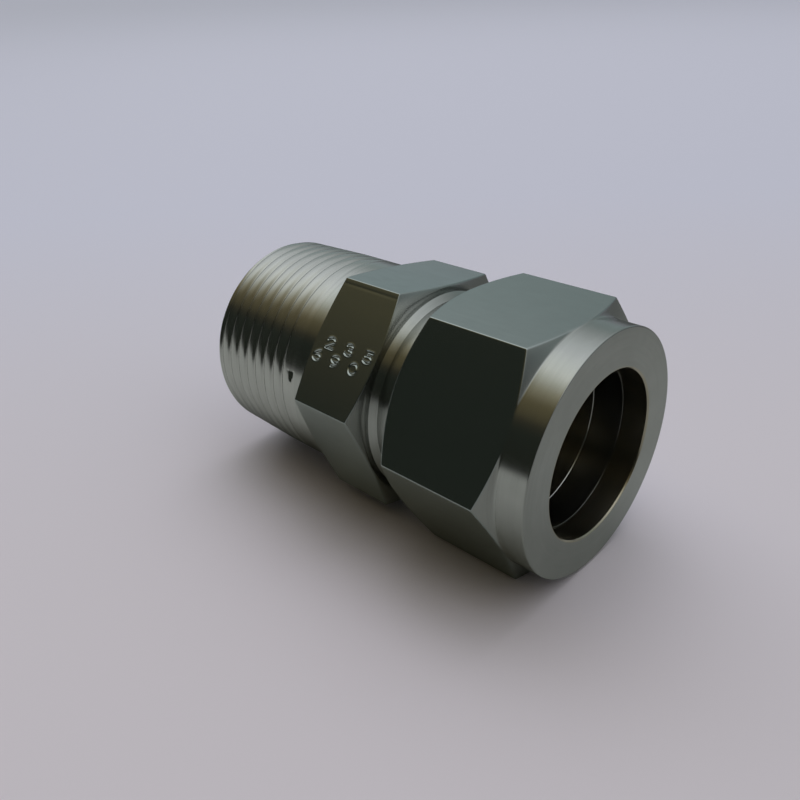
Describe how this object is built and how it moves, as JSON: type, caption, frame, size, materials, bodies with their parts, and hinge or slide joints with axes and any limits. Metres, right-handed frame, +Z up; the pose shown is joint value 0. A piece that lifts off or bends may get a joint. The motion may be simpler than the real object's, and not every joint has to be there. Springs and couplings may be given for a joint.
{
  "type": "male connector tube fitting",
  "caption": "Straight compression tube fitting: hexagon body with tapered pipe thread at one end, and a hexagon nut holding two ferrules over the tube socket.",
  "frame": {"origin": "centre of the shoulder at the bottom of the tube socket, which the tube's end stops on", "axes": "+X along the fitting's axis, out of the mouth that takes the tube; +Z up, square to the nut's top flat, with the part lying on the opposite flat; +Y completes the frame"},
  "size_m": [0.0515, 0.033, 0.0288],
  "materials": {
    "turned_steel": "fine turned",
    "nut_steel": "fine turned, drawn flats",
    "ferrule_steel": "polished"
  },
  "bodies": {
    "connector_body": {"connector_body": "turned_steel"},
    "ferrule_set": {"front_ferrule": "ferrule_steel", "back_ferrule": "ferrule_steel"},
    "nut": {"nut": "nut_steel"}
  },
  "joints": [
    {"name": "ferrule_travel", "type": "slide", "parent": "connector_body", "child": "ferrule_set", "axis": [1, 0, 0], "range_m": [0, 0.0073]},
    {"name": "nut_turn", "type": "hinge", "parent": "ferrule_set", "child": "nut", "pos_m": [0.0149, 0, 0], "axis": [1, 0, 0], "range_deg": [0, 2070]}
  ],
  "couplings": [
    {"joint": "ferrule_travel", "follows": "nut_turn", "m_per_rad": 0.00020213}
  ]
}
